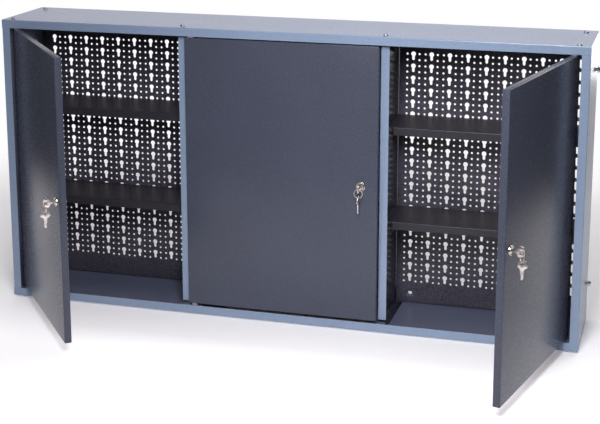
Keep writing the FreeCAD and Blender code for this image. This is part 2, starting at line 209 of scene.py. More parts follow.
def bay_shade_mask(tree, place, front):
    """Mask of the painted shade: 1 for points of the carcass within the bays and behind a front plane, else 0."""
    low = Vector((SHEET / 2 - HALF_WIDTH, front, SHEET / 2 - HALF_HEIGHT)) * MM
    high = Vector((HALF_WIDTH - SHEET / 2, -SHEET / 2, HALF_HEIGHT - SHEET / 2)) * MM
    offset = add_node(tree, "VectorMath", {0: place, 1: (low + high) / 2}, operation="SUBTRACT")
    distance = add_node(tree, "VectorMath", {0: offset.outputs[0]}, operation="ABSOLUTE")
    beyond = add_node(tree, "VectorMath", {0: distance.outputs[0], 1: (high - low) / 2},
                      operation="SUBTRACT")
    axis = add_node(tree, "SeparateXYZ", {0: beyond.outputs[0]}).outputs
    worst = add_node(tree, "Math", {0: axis["X"], 1: axis["Y"]}, operation="MAXIMUM")
    worst = add_node(tree, "Math", {0: worst.outputs[0], 1: axis["Z"]}, operation="MAXIMUM")
    return add_node(tree, "Math", {0: worst.outputs[0], 1: 0.0}, operation="LESS_THAN").outputs[0]


print("shade begins at", round(BEHIND_LIPS, 1), "mm, on the dividers at", round(BEHIND_FOLDS, 1))

# %% [markdown]
# ## Powder coat
# Steel furniture is sprayed with dry polyester powder and baked at about 180 degrees. The film
# flows into a fine sandy grain less than a millimetre across, with a satin gloss. A fine noise
# gives the grain as relief, as tiny changes of gloss and as a slight mottle of the shade, which
# tells the eye that the steel is coated and not painted. A slow noise drifts the shade as an uneven
# film does. The grain is drawn about twice as coarse as life, so that it still shows from afar.

# %% Powder coat recipe
DRIFT_MM, DRIFT_SHARE = 140, 0.35
SHADE_SPAN = (0.35, 0.65)


def powder_coat(name, tones, grain_mm, depth_mm, gloss, ior=1.42, bay_shade_tones=None, shade_front=0):
    """Baked polyester powder on steel; within the bays it may carry darker tones of painted shade."""
    material, tree, place = new_finish(name)
    grain = add_node(tree, "TexNoise", {"Vector": place}, Scale=1 / (grain_mm * MM),
                     Roughness=0.6).outputs["Fac"]
    drift = add_node(tree, "TexNoise", {"Vector": place}, Scale=1 / (DRIFT_MM * MM))
    shade = add_node(tree, "Mix", {"A": grain, "B": drift.outputs["Fac"]}, Factor=DRIFT_SHARE)
    colour = between(tree, shade.outputs["Result"], *tones, *SHADE_SPAN)
    # Within the bays, darker tones of painted shade replace the coat's own tones.
    if bay_shade_tones:
        painted_shade = between(tree, shade.outputs["Result"], *bay_shade_tones, *SHADE_SPAN)
        shade_choice = {0: bay_shade_mask(tree, place, shade_front), 6: colour, 7: painted_shade}
        colour = add_node(tree, "Mix", shade_choice, data_type="RGBA").outputs[2]
    relief = add_node(tree, "Bump", {"Height": grain}, Strength=0.6, Distance=depth_mm * MM)
    shader = add_node(tree, "BsdfPrincipled", {
        "Base Color": colour, "Roughness": between(tree, grain, *gloss),
        "Normal": relief.outputs["Normal"]}, IOR=ior)
    add_node(tree, "OutputMaterial", {"Surface": shader.outputs["BSDF"]})
    print(name, "has a grain of", grain_mm, "mm and", len(tree.nodes), "nodes")
    return material


# %% Light coats of the carcass
LIGHT_TONES = ("#7f8fa9", "#8797b1")
# The bay tones of both coats are painted shade, far darker than the coat itself.
shell_coat = powder_coat("light_shell_coat_with_painted_bay_shade", LIGHT_TONES, grain_mm=1.8, depth_mm=0.009,
                         gloss=(0.26, 0.34), bay_shade_tones=("#555a70", "#636982"),
                         shade_front=BEHIND_LIPS)
divider_coat = powder_coat("light_divider_coat_with_painted_bay_shade", LIGHT_TONES, grain_mm=1.8, depth_mm=0.008,
                           gloss=(0.2, 0.26), bay_shade_tones=("#292d3b", "#373c4d"),
                           shade_front=BEHIND_FOLDS)

# %% [markdown]
# The anthracite coats differ in what the sheet under them does. The doors are smooth and mirror the
# room a little. The punched panels show every hole's rim, so their coat is coarser and more
# mottled, and the shelves are the dullest and darkest.

# %% Anthracite coats
door_coat = powder_coat("anthracite_door_powder_coat", ("#434654", "#494d5d"), grain_mm=2.4,
                        depth_mm=0.007, gloss=(0.22, 0.3), ior=1.33)
panel_coat = powder_coat("anthracite_panel_powder_coat", ("#292731", "#524f5d"), grain_mm=2.8,
                         depth_mm=0.06, gloss=(0.26, 0.45))
shelf_coat = powder_coat("anthracite_shelf_powder_coat", ("#26242b", "#302d37"), grain_mm=2.4,
                         depth_mm=0.05, gloss=(0.42, 0.55))

# %% [markdown]
# ## Plated metal
# Lock roses, keys and rings are zinc alloy or steel with bright nickel, which is warm in tone.
# Screws are zinc plated, cooler and duller. Wear leaves hair-fine scratches that break the
# reflections: a noise squeezed along the height draws them in gloss and relief, and a second noise
# tarnishes the shade in patches.

# %% Plated metals
TARNISH_MM = 5
SCRATCH_MM, SCRATCH_SQUEEZE = 0.8, 8


def plated(name, tones, gloss):
    """Plated metal with patches of tarnish and fine scratches."""
    material, tree, place = new_finish(name)
    tarnish = add_node(tree, "TexNoise", {"Vector": place}, Scale=1 / (TARNISH_MM * MM), Detail=4.0)
    along = add_node(tree, "Mapping", {"Vector": place}, Scale=(1, 1, SCRATCH_SQUEEZE))
    scratch = add_node(tree, "TexNoise", {"Vector": along.outputs["Vector"]},
                       Scale=1 / (SCRATCH_MM * MM), Detail=5.0).outputs["Fac"]
    relief = add_node(tree, "Bump", {"Height": scratch}, Strength=0.3, Distance=0.02 * MM)
    shader = add_node(tree, "BsdfPrincipled", {
        "Base Color": between(tree, tarnish.outputs["Fac"], *tones),
        "Roughness": between(tree, scratch, *gloss), "Normal": relief.outputs["Normal"]},
        Metallic=1.0)
    add_node(tree, "OutputMaterial", {"Surface": shader.outputs["BSDF"]})
    print(name, "has scratches", SCRATCH_MM / SCRATCH_SQUEEZE, "mm wide")
    return material


lock_nickel = plated("lock_nickel_plating", ("#c4bbb5", "#e9e0db"), (0.12, 0.28))
key_nickel = plated("key_nickel_plating", ("#d4cac6", "#f4ece9"), (0.2, 0.38))
zinc = plated("zinc_plating", ("#a2a6ad", "#c8cbd0"), (0.26, 0.46))

# %% [markdown]
# ## Moulded nylon
# The hinge bushes are undyed nylon, greyed by handling. Light enters it a little way and comes out
# again, which softens its edges, so it has some subsurface scattering over a millimetre.

# %% Moulded nylon
NYLON_MOTTLE_MM = 2.5


def moulded_nylon():
    """Handled nylon with a faint mottle left by the mould."""
    material, tree, place = new_finish("moulded_nylon")
    mottle = add_node(tree, "TexNoise", {"Vector": place}, Scale=1 / (NYLON_MOTTLE_MM * MM),
                      Detail=3.0).outputs["Fac"]
    relief = add_node(tree, "Bump", {"Height": mottle}, Strength=0.3, Distance=0.03 * MM)
    shader = add_node(tree, "BsdfPrincipled", {
        "Base Color": between(tree, mottle, "#7c7e84", "#8d8f95"),
        "Roughness": between(tree, mottle, 0.38, 0.5), "Normal": relief.outputs["Normal"]},
        IOR=1.53, Subsurface_Weight=0.2, Subsurface_Scale=1.0 * MM)
    add_node(tree, "OutputMaterial", {"Surface": shader.outputs["BSDF"]})
    return material


nylon = moulded_nylon()
print(nylon.name, "has", len(nylon.node_tree.nodes), "nodes")

# %% [markdown]
# ## Finishes on the CAD solids
# Each CAD solid carries the finish of the slot that the record gives it. The panels, dividers and
# plates of the carcass are light, the shelves and back panels dark.

# %% Finishes by slot
FINISHES = {"carcass_steel": shell_coat, "back_panel_steel": panel_coat,
            "shelf_steel": shelf_coat, "door_steel": door_coat, "white_nylon": nylon,
            "key_nickel": key_nickel, "lock_nickel": lock_nickel, "clip_zinc": zinc}
for subpart in frame["record"]["subparts"]:
    solid = frame["nodes"][subpart["node"]].data
    solid.materials.clear()
    solid.materials.append(FINISHES[subpart["material_slot"]])

# %% [markdown]
# ## Handing over a piece
# A piece is drawn in a bmesh with Blender's own operators. One function then scales it to metres,
# sets it in place inside its mesh and shades it: small faces of a rounding are smooth, while large
# flats stay flat, so a flat sheet never picks up a false gradient from its rounded edge. The piece
# rides on a body of the frame, and it may stand for CAD solids, which are then hidden.

# %% Piece maker
# Faces under this area in square millimetres belong to a rounding.
ROUNDING_FACE = 40.0
SHARP_ANGLE = 38


def mesh_of(bm, name):
    """Writes a finished drawing to a mesh and clears the drawing away."""
    mesh = bpy.data.meshes.new(name)
    bm.to_mesh(mesh)
    bm.free()
    return mesh


def hand_over(name, bm, slot, body, place=None, instead_of=(), smooth_below=ROUNDING_FACE,
              finish=None):
    """Turns a drawing in millimetres into a piece of the cabinet."""
    bmesh.ops.recalc_face_normals(bm, faces=bm.faces)
    for face in bm.faces:
        face.smooth = face.calc_area() < smooth_below
    bmesh.ops.transform(bm, matrix=Matrix.Scale(MM, 4) @ (place or Matrix()), verts=bm.verts)
    mesh = mesh_of(bm, name)
    mesh.set_sharp_from_angle(angle=math.radians(SHARP_ANGLE))
    mesh.materials.append(finish or FINISHES[slot])
    piece = put_in_scene(name, mesh)
    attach(piece, body)
    if instead_of:
        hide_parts(*instead_of)
    print(name, "has", len(mesh.polygons), "faces")


print("a piece's edges are sharp from", SHARP_ANGLE, "degrees")

# %% [markdown]
# ## Small drawing helpers
# What repeats on a sheet is drawn once and copied, and two drawings are joined by way of a mesh.
# Flat outlines are laid out in the XZ plane from arcs and rectangles.

# %% Drawing helpers
def verts_in(geometry):
    """The points among some geometry."""
    return [part for part in geometry if isinstance(part, bmesh.types.BMVert)]


def everything(bm):
    """All the geometry of a drawing."""
    return bm.verts[:] + bm.edges[:] + bm.faces[:]


def copies(bm, parts, offsets):
    """Copies some geometry of a drawing to each offset."""
    for offset in offsets:
        made = bmesh.ops.duplicate(bm, geom=parts)["geom"]
        bmesh.ops.translate(bm, verts=verts_in(made), vec=offset)


def join(bm, other):
    """Adds one drawing to another."""
    mesh = mesh_of(other, "joined")
    bm.from_mesh(mesh)
    bpy.data.meshes.remove(mesh)


def draw_loop(bm, points):
    """Closed loop of edges through points of the XZ plane."""
    verts = [bm.verts.new((x, 0, z)) for x, z in points]
    return [bm.edges.new(pair) for pair in zip(verts, verts[1:] + verts[:1])]


def arc(radius, x, z, start, end, steps):
    """Points on an arc of the XZ plane, angles in degrees."""
    angles = [math.radians(start + (end - start) * step / steps) for step in range(steps + 1)]
    return [(x + radius * math.cos(a), z + radius * math.sin(a)) for a in angles]


def circle(radius, steps):
    """Points round the origin of the XZ plane."""
    return arc(radius, 0, 0, 0, 360 - 360 / steps, steps - 1)


def rectangle(x0, x1, z0, z1):
    """Corners of an upright rectangle."""
    return [(x0, z0), (x1, z0), (x1, z1), (x0, z1)]


stray = 100 * (1 - math.cos(math.pi / 24))
print("a circle drawn with 24 points strays by", round(stray, 1), "% of its radius")

# %% [markdown]
# ## Perforated back panels
# Tool panels are punched from flat sheet before their edges are folded: columns of keyholes for
# tool hooks, with round holes between them on the same 12.5 mm grid. The punch repeats one pattern,
# so one repeat is drawn here, filled round its holes, and copied. The plain border is filled last,
# the edges are folded back, and the skin gets its thickness, which also gives each hole its wall.
# Booleans would do it too, but nearly three thousand holes are far quicker as copies.

# %% One repeat of the punched pattern
GRID = 12.5
COLUMN_PITCH, ROW_PITCH = 3 * GRID, 2 * GRID
COLUMNS, ROWS = 10, 20
KEYHOLE_HEAD, KEYHOLE_NECK, KEYHOLE_FOOT = 5.0, 2.7, -13.0
HEAD_FROM, HEAD_TO = -57, 237
HOLE_RADIUS, HOLE_CORNERS = 2.3, 8


def punched_repeat(columns_of_holes):
    """Keyhole with one or two columns of round holes beside it, as flat filled sheet."""
    bm = bmesh.new()
    right = GRID * (columns_of_holes + 0.5)
    loops = [rectangle(-GRID / 2, right, GRID / 2 - ROW_PITCH, GRID / 2),
             arc(KEYHOLE_HEAD, 0, 0, HEAD_FROM, HEAD_TO, 9)
             + arc(KEYHOLE_NECK, 0, KEYHOLE_FOOT + KEYHOLE_NECK, 180, 360, 4)]
    half_corner = 180 / HOLE_CORNERS
    for column in range(columns_of_holes):
        for z in (0, -GRID):
            loops.append(arc(HOLE_RADIUS, GRID * (column + 1), z, half_corner, 360 - half_corner,
                             HOLE_CORNERS - 1))
    edges = [edge for points in loops for edge in draw_loop(bm, points)]
    bmesh.ops.triangle_fill(bm, edges=edges, use_beauty=True)
    return bm


sample = punched_repeat(2)
print("one repeat has", len(sample.faces), "faces")
sample.free()

# %% [markdown]
# The repeat is copied down a column and the column is copied across. Two columns of round holes
# stand between keyholes, but only one after the last keyhole, so that column is drawn apart.

# %% Punched field
MERGE = 0.01


def add_column(bm, columns_of_holes, x):
    """Adds one column of repeats to a drawing, its keyholes at x."""
    strip = punched_repeat(columns_of_holes)
    top = (ROWS - 1) / 2 * ROW_PITCH
    bmesh.ops.translate(strip, verts=strip.verts, vec=(x, 0, top))
    copies(strip, everything(strip), [(0, 0, -ROW_PITCH * row) for row in range(1, ROWS)])
    join(bm, strip)


def punched_field(middle):
    """All the repeats of a panel, its columns of keyholes spread about a middle."""
    bm = bmesh.new()
    first = middle - COLUMN_PITCH * (COLUMNS - 1) / 2
    add_column(bm, 2, first)
    column = everything(bm)
    copies(bm, column, [(COLUMN_PITCH * step, 0, 0) for step in range(1, COLUMNS - 1)])
    add_column(bm, 1, first + COLUMN_PITCH * (COLUMNS - 1))
    bmesh.ops.remove_doubles(bm, verts=bm.verts, dist=MERGE)
    return bm


print("a panel has", COLUMNS * ROWS, "keyholes and", (4 * COLUMNS - 2) * ROWS, "round holes")

# %% [markdown]
# The border needs the corner points of every repeat along the field's rim, or the sheet would not
# be one skin and its thickness would leave slits. So the fill takes the rim edges of the field
# itself, the outline of the panel and the slots that clear the wall fixings.

# %% Border
SLOT_X, SLOT_Z = 231.25, 278
SLOT_HALF_WIDTH, SLOT_HALF_HEIGHT = 8, 5.5


def on_rim(edge, corners):
    """Whether an edge lies on the XZ rectangle between two corners."""
    return any(all(abs(vert.co[axis] - corner[axis]) < MERGE for vert in edge.verts)
               for axis in (0, 2) for corner in corners)


def add_border(bm, low, high, slots):
    """Fills the plain sheet round the field; returns the panel's outline."""
    corners = corners_of([vert.co for vert in bm.verts])
    rim = [edge for edge in bm.edges if edge.is_boundary and on_rim(edge, corners)]
    outline = draw_loop(bm, rectangle(low.x, high.x, low.z, high.z))
    openings = [edge for x in slots for z in (-SLOT_Z, SLOT_Z) for edge in draw_loop(
        bm, rectangle(x - SLOT_HALF_WIDTH, x + SLOT_HALF_WIDTH,
                      z - SLOT_HALF_HEIGHT, z + SLOT_HALF_HEIGHT))]
    bmesh.ops.triangle_fill(bm, edges=rim + outline + openings, use_beauty=True)
    return outline


print("slots clear the wall fixings at x", SLOT_X, "and z", SLOT_Z, "mm")

# %% [markdown]
# A panel takes its outline and its depth from the CAD panel. The bevel rounds the fold, and the
# thickness grows away from the side that the normals point to, so the skin is turned to face the
# door first. The right panel mirrors the left one, as the cabinet's own fixing slots do. Nothing on
# a punched sheet is round enough to need smooth shading, so all of its faces stay flat.

# %% Folded edges and thickness
PANEL_SHEET = 1.0
PANEL_FOLD = 1.4


def back_panel(bay, drawn_as, slots):
    """Punched sheet, folded back at its edges and thickened."""
    low, high = box_of(drawn_as + "_back_panel")
    bm = punched_field((low.x + high.x) / 2)
    outline = add_border(bm, low, high, slots)
    folds = bmesh.ops.extrude_edge_only(bm, edges=outline)["geom"]
    bmesh.ops.translate(bm, verts=verts_in(folds), vec=(0, high.y - low.y, 0))
    bmesh.ops.bevel(bm, geom=outline, offset=PANEL_FOLD, segments=2, affect="EDGES",
                    profile=0.5, material=-1)
    bmesh.ops.recalc_face_normals(bm, faces=bm.faces)
    front = max(bm.faces, key=lambda face: face.calc_area() * abs(face.normal.y))
    if front.normal.y > 0:
        bmesh.ops.reverse_faces(bm, faces=bm.faces)
    bmesh.ops.solidify(bm, geom=bm.faces[:], thickness=PANEL_SHEET)
    if drawn_as != bay:
        bmesh.ops.scale(bm, verts=bm.verts, vec=(-1, 1, 1))
    hand_over(bay + "_perforated_panel", bm, "back_panel_steel", "carcass",
              place=Matrix.Translation((0, low.y, 0)),
              instead_of=[bay + "_back_panel"], smooth_below=0)


back_panel("left", "left", [-SLOT_X])
back_panel("right", "left", [-SLOT_X])
back_panel("middle", "middle", [])

# %% [markdown]
# ## Dividers with hole columns
# Shelf clips hook into columns of small holes in the dividers. The CAD divider is already the right
# folded sheet, so a copy of it is merged into a closed skin and the holes are cut from that. An
# exact boolean suits this, because the cutters are few and the web is one flat face.

# %% Boolean helper
def subtract(bm, cutter):
    """Cuts one closed drawing from another and returns the result."""
    throwaways = []
    for drawing in (bm, cutter):
        bmesh.ops.recalc_face_normals(drawing, faces=drawing.faces)
        throwaways.append(put_in_scene("drawing", mesh_of(drawing, "drawing")))
    kept, tool = throwaways
    boolean = kept.modifiers.new("cut", "BOOLEAN")
    boolean.object = tool
    result = bmesh.new()
    result.from_object(kept, bpy.context.evaluated_depsgraph_get())
    for drawing in throwaways:
        bpy.data.meshes.remove(drawing.data)
    print("cut leaves", len(result.faces), "faces")
    return result


# %% Dividers
CLIP_HOLE_RADIUS, CLIP_HOLE_CORNERS = 2.2, 10
CLIP_HOLE_PLACES = (-90, -34)
CLIP_HOLE_TOP = 237.5
CUTTER_LENGTH = 6
# The wall of a clip hole is made of faces under this area in square millimetres.
HOLE_WALL_FACE = 3


def divider(side_name, side):
    """Divider with two columns of clip holes; side is +1 towards +X."""
    node = side_name + "_divider"
    bm = bmesh.new()
    bm.from_mesh(frame["nodes"][node].data)
    bmesh.ops.scale(bm, verts=bm.verts, vec=(1 / MM, 1 / MM, 1 / MM))
    bmesh.ops.remove_doubles(bm, verts=bm.verts, dist=MERGE)
    cutter = bmesh.new()
    for y in CLIP_HOLE_PLACES:
        bmesh.ops.create_cone(cutter, segments=CLIP_HOLE_CORNERS, radius1=CLIP_HOLE_RADIUS,
                              radius2=CLIP_HOLE_RADIUS, depth=CUTTER_LENGTH, cap_ends=True,
                              matrix=Matrix.Translation((side * BAY_EDGE, y, CLIP_HOLE_TOP))
                              @ Matrix.Rotation(math.pi / 2, 4, "Y"))
    steps = int(2 * CLIP_HOLE_TOP / GRID)
    copies(cutter, everything(cutter), [(0, 0, -GRID * step) for step in range(1, steps + 1)])
    hand_over(side_name + "_holed_divider", subtract(bm, cutter), "carcass_steel", "carcass",
              instead_of=[node], smooth_below=HOLE_WALL_FACE, finish=divider_coat)


divider("left", -1)
divider("right", 1)

# %% [markdown]
# ## Doors
# A door is a shallow pan of one millimetre sheet: a flat face, edges folded back all round and a
# narrow lip returned inside. It starts as a block of the CAD door's outer size, shut. Its back is
# inset by the lip and opened, the folds are rounded, and the skin is thickened inwards. The
# rounding matters more than its size suggests, because it draws the thin bright line round each
# door.

# %% Door pans
DOOR_SHEET = 1.0
DOOR_LIP = 12
DOOR_FOLD, FOLD_SEGMENTS = 1.5, 3
# An edge that bends by more than this many radians is a fold.
FOLD_ANGLE = 1.0
# A strip of a rounded fold is smaller than this in square millimetres, and a flat is larger.
FOLD_STRIP = 2500


def door_pan(name):
    """Door pan at its closed place, then turned open about its pivot."""
    pivot, _, angle = door_turn(name)
    low, high = box_of(name + "_door", turn_about(pivot, -angle))
    bm = bmesh.new()
    bmesh.ops.create_cube(bm, size=1)
    bmesh.ops.scale(bm, verts=bm.verts, vec=high - low)
    bmesh.ops.translate(bm, verts=bm.verts, vec=(low + high) / 2)
    back = [face for face in bm.faces if face.normal.y > 0.5]
    bmesh.ops.inset_region(bm, faces=back, thickness=DOOR_LIP, use_even_offset=True)
    bmesh.ops.delete(bm, geom=back, context="FACES")
    folds = [edge for edge in bm.edges
             if not edge.is_boundary and edge.calc_face_angle(0) > FOLD_ANGLE]
    bmesh.ops.bevel(bm, geom=folds, offset=DOOR_FOLD, segments=FOLD_SEGMENTS, affect="EDGES",
                    profile=0.5, material=-1)
    bmesh.ops.solidify(bm, geom=bm.faces[:], thickness=DOOR_SHEET)
    hand_over(name + "_door_pan", bm, "door_steel", name + "_door",
              place=turn_about(pivot, angle), instead_of=[name + "_door"],
              smooth_below=FOLD_STRIP)


for door in DOORS:
    door_pan(door)

# %% [markdown]
# ## Cam locks
# A cam lock is a turned barrel: a rose with raised rings in front, a threaded body with two flats
# through the door, a hex nut behind, and a plug inside that turns the cam. Everything round on it
# was made on a lathe, and so it is here: a profile of radius and depth is spun about the lock's
# axis. The flats are pressed into the spun body by moving its points in to the flat.

# %% Turned pieces
BARREL_BORE = 5.6
ROSE_RADIUS = 9.5
ROSE_PROFILE = [(BARREL_BORE, 0), (BARREL_BORE, -2.6), (5.8, -2.85), (6.3, -2.85), (6.5, -2.6),
                (6.6, -1.3), (7.6, -1.3), (7.8, -2.7), (8.1, -2.95), (8.8, -3.0), (9.25, -2.8),
                (ROSE_RADIUS, -2.3), (ROSE_RADIUS, 0)]
BODY_RADIUS, BODY_LENGTH, BODY_NECK, BODY_END = 8.0, 15.6, 1, 0.8
THREAD_PITCH, THREAD_DEPTH = 1.4, 0.5
LOCK_FLAT, FLATS_FROM = 6.7, 0.5
SEAM = 0.001


def turned(bm, profile, steps=48):
    """Spins a profile of (radius, depth) points about the Y axis."""
    verts = [bm.verts.new((radius, y, 0)) for radius, y in profile]
    edges = [bm.edges.new(pair) for pair in zip(verts, verts[1:])]
    bmesh.ops.spin(bm, geom=verts + edges, cent=(0, 0, 0), axis=(0, 1, 0),
                   angle=2 * math.pi, steps=steps, use_merge=True)
    bmesh.ops.remove_doubles(bm, verts=bm.verts, dist=SEAM)


def body_profile():
    """Threaded barrel behind the door's face, drawn as ridges."""
    profile = [(ROSE_RADIUS, 0), (BODY_RADIUS, 0), (BODY_RADIUS, BODY_NECK)]
    for ridge in range(int((BODY_LENGTH - BODY_NECK) / THREAD_PITCH)):
        start = BODY_NECK + ridge * THREAD_PITCH
        profile += [(BODY_RADIUS - THREAD_DEPTH, start + THREAD_PITCH / 4),
                    (BODY_RADIUS, start + THREAD_PITCH * 3 / 4)]
    return profile + [(BODY_RADIUS - BODY_END, BODY_LENGTH), (BARREL_BORE, BODY_LENGTH),
                      (BARREL_BORE, 0)]


def press_flats(bm):
    """Moves the points of the body behind the rose in to its two flats."""
    for vert in bm.verts:
        if vert.co.y > FLATS_FROM:
            vert.co.x = max(-LOCK_FLAT, min(LOCK_FLAT, vert.co.x))


def lock_barrel(name):
    """Rose and threaded body in one piece."""
    bm = bmesh.new()
    turned(bm, body_profile())
    press_flats(bm)
    turned(bm, ROSE_PROFILE)
    hand_over(name + "_lock_barrel", bm, "lock_nickel", name + "_door", place=lock_space(name),
              instead_of=[name + "_lock_housing"])


print("the barrel's profile has", len(body_profile()), "points, the rose's", len(ROSE_PROFILE))

# %% [markdown]
# ## Pieces cut from plate
# The nut, the plug's face, the cam and the keys are flat shapes with holes. One helper fills the
# sheet between an outline and its holes, draws it out to its thickness and eases the rims, which
# catch the light on a real stamped part.

# %% Cut plate
# An edge that bends by more than this many radians is a rim.
RIM_ANGLE = 1.1


def cut_plate(loops, near, far, easing):
    """Plate between two depths, from loops of XZ points: the outline first, then its holes."""
    bm = bmesh.new()
    edges = [edge for points in loops for edge in draw_loop(bm, points)]
    bmesh.ops.triangle_fill(bm, edges=edges, use_beauty=True)
    bmesh.ops.translate(bm, verts=bm.verts, vec=(0, near, 0))
    made = bmesh.ops.extrude_face_region(bm, geom=bm.faces[:])["geom"]
    bmesh.ops.translate(bm, verts=verts_in(made), vec=(0, far - near, 0))
    bmesh.ops.recalc_face_normals(bm, faces=bm.faces)
    rims = [edge for edge in bm.edges if edge.calc_face_angle(0) > RIM_ANGLE]
    bmesh.ops.bevel(bm, geom=rims, offset=easing, segments=2, affect="EDGES", profile=0.5,
                    material=-1)
    return bm


print("rims sharper than", round(math.degrees(RIM_ANGLE)), "degrees are eased")

# %% Lock nut and plug
NUT_ACROSS_FLATS, NUT_NEAR, NUT_FAR = 20, 1.0, 5.0
# The bore is a little under the crests of the body's thread, because the two threads engage.
NUT_BORE = BODY_RADIUS - 0.2
PLUG_RADIUS, PLUG_FRONT, PLUG_BACK = 5.5, -2.6, 16.0
PLUG_BACK_RADIUS = 5.4
# The keyway clears the key's blade all round.
KEY_HALF, BLADE_EDGE = 1, 2.75
KEYWAY_PLAY, KEYWAY_DEPTH = 0.1, 9.6
TANG_HALF, TANG_END = 3, PLUG_BACK + 2.2


def lock_nut(name):
    """Hex nut that clamps the lock to the door."""
    corner = NUT_ACROSS_FLATS / math.sqrt(3)
    bm = cut_plate([circle(corner, 6), circle(NUT_BORE, 24)], NUT_NEAR, NUT_FAR, easing=0.5)
    hand_over(name + "_lock_nut", bm, "lock_nickel", name + "_door", place=lock_space(name))


def lock_plug(name):
    """Plug with its keyway in front, its solid back and the square tang for the cam."""
    half_width, half_height = KEY_HALF + KEYWAY_PLAY, BLADE_EDGE + KEYWAY_PLAY
    keyway = rectangle(-half_width, half_width, -half_height, half_height)
    bm = cut_plate([circle(PLUG_RADIUS, 40), keyway], PLUG_FRONT, KEYWAY_DEPTH, easing=0.25)
    turned(bm, [(0, KEYWAY_DEPTH), (PLUG_BACK_RADIUS, KEYWAY_DEPTH), (PLUG_BACK_RADIUS, PLUG_BACK),
                (0, PLUG_BACK)])
    tang = rectangle(-TANG_HALF, TANG_HALF, -TANG_HALF, TANG_HALF)
    join(bm, cut_plate([tang], PLUG_BACK, TANG_END, easing=0.2))
    hand_over(name + "_lock_core", bm, "lock_nickel", name + "_lock", place=lock_space(name),
              instead_of=[name + "_lock_plug"])


print("the tang stands", round(TANG_END - PLUG_BACK, 1), "mm out of the plug")

# %% [markdown]
# ## Cams and screws
# The cam is a stamped strip with a round end and a square hole, held on the plug by a pan head
# screw. The same screw head, in other sizes, holds the carcass together. Its cross recess is the
# one detail of a screw that shows from afar, so it is cut for real, once, and the head is copied.

# %% Screw head
# Shares of the head's radius and height, from its seat to the top of the dome.
HEAD_PROFILE = [(0, 0), (0.92, 0), (1, 0.25), (0.93, 0.6), (0.72, 0.88), (0.4, 1), (0, 1)]
RECESS_WING, RECESS_ARM, RECESS_FLOOR = 0.14, 0.55, 0.45


def pan_head(radius, height):
    """Cross-recessed pan head on the Y axis, seated at zero with its dome towards -Y."""
    bm = bmesh.new()
    turned(bm, [(radius * out, -height * up) for out, up in HEAD_PROFILE], steps=32)
    wing, arm = RECESS_WING * radius, RECESS_ARM * radius
    quarter = [(wing, arm), (wing, wing), (arm, wing)]
    corners = ((1, 1, 1), (1, -1, -1), (-1, -1, 1), (-1, 1, -1))
    cross = [(right * x, up * z) for right, up, way in corners for x, z in quarter[::way]]
    return subtract(bm, cut_plate([cross], -height - 1, -RECESS_FLOOR * height, easing=0.01))


print("a cross recess is", round(100 * (1 - RECESS_FLOOR)), "% of its head's height deep")

# %% Cams
CAM_NEAR, CAM_FAR = PLUG_BACK + 0.2, TANG_END
CAM_HEAD_RADIUS, CAM_TIP_RADIUS = 6, 2.5
CAM_HOLE_HALF = TANG_HALF + 0.05
CAM_SCREW_RADIUS, CAM_SCREW_HEIGHT = 4, 2.2


def cam(name):
    """Stamped cam that hangs down from the plug as far as the CAD one, with its screw behind."""
    low, high = box_of(name + "_lock_cam")
    reach = high.z - low.z - CAM_HEAD_RADIUS
    side, tip = CAM_HEAD_RADIUS - CAM_TIP_RADIUS, CAM_TIP_RADIUS - reach
    outline = (arc(CAM_HEAD_RADIUS, 0, 0, 0, 180, 12)
               + arc(CAM_TIP_RADIUS, -side, tip, 180, 270, 4)
               + arc(CAM_TIP_RADIUS, side, tip, 270, 360, 4))
    hole = rectangle(-CAM_HOLE_HALF, CAM_HOLE_HALF, -CAM_HOLE_HALF, CAM_HOLE_HALF)
    bm = cut_plate([outline, hole], CAM_NEAR, CAM_FAR, easing=0.3)
    hand_over(name + "_cam", bm, "lock_nickel", name + "_lock", place=lock_space(name),
              instead_of=[name + "_lock_cam"])
    screw = pan_head(CAM_SCREW_RADIUS, CAM_SCREW_HEIGHT)
    bmesh.ops.rotate(screw, verts=screw.verts, cent=(0, 0, 0),
                     matrix=Matrix.Rotation(math.pi, 3, "Z"))
    hand_over(name + "_cam_screw", screw, "lock_nickel", name + "_lock",
              place=lock_space(name) @ Matrix.Translation((0, CAM_FAR, 0)))


for door in DOORS:
    lock_barrel(door)
    lock_nut(door)
    lock_plug(door)
    cam(door)

# %% [markdown]
# ## Keys and split rings
# Each lock holds one key, and a spare hangs from it on a split ring. A key is stamped from two
# millimetre plate: a broad bow with rounded lobes and a flat end, a shank that tapers to the blade,
# and cuts along one edge. The outline is laid out from arcs, as a die maker would draw it. The ring
# is flat wire wound two turns, so it is spun over 720 degrees while it climbs by its own height.

# %% Key outline
EYE_OUT = 22.0
EYE_RADIUS = 1.9
CUTS = [(BLADE_EDGE, -20.2), (1.7, -21.2), (1.7, -22.0), (2.4, -22.9), (1.3, -24.1), (1.3, -24.9),
        (2.1, -25.8), (1.6, -26.8), (1.6, -27.6), (2.3, -28.5), (1.4, -30.0), (0.5, -31.0)]


def key_outline():
    """Outline of a hanging key whose eye is at the origin."""
    bow = arc(4.6, 4.4, -0.9, 90, 15, 4) + arc(5.0, 5.25, -5.2, 10, -75, 6)
    shank = [(4.4, -11.2), (3.5, -13.0), (BLADE_EDGE, -18.0)]
    plain = [(-x, z) for x, z in bow + shank]
    tip = [(-BLADE_EDGE, -28.5), (-0.8, -31.0)]
    return bow + shank + CUTS + tip[::-1] + plain[::-1]


def hanging_key():
    """Key plate with its thickness along X, its blade down and its eye at the origin."""
    bm = cut_plate([key_outline(), circle(EYE_RADIUS, 16)], -KEY_HALF, KEY_HALF, easing=0.3)
    bmesh.ops.rotate(bm, verts=bm.verts, cent=(0, 0, 0),
                     matrix=Matrix.Rotation(math.pi / 2, 3, "Z"))
    return bm


heights = [z for x, z in key_outline()]
print("a key is", round(max(heights) - min(heights), 1), "mm long")

# %% Keys, rings and spares
RING_RADIUS, RING_WIRE, RING_HEIGHT, RING_GAP = 9.0, 1.2, 0.8, 0.04
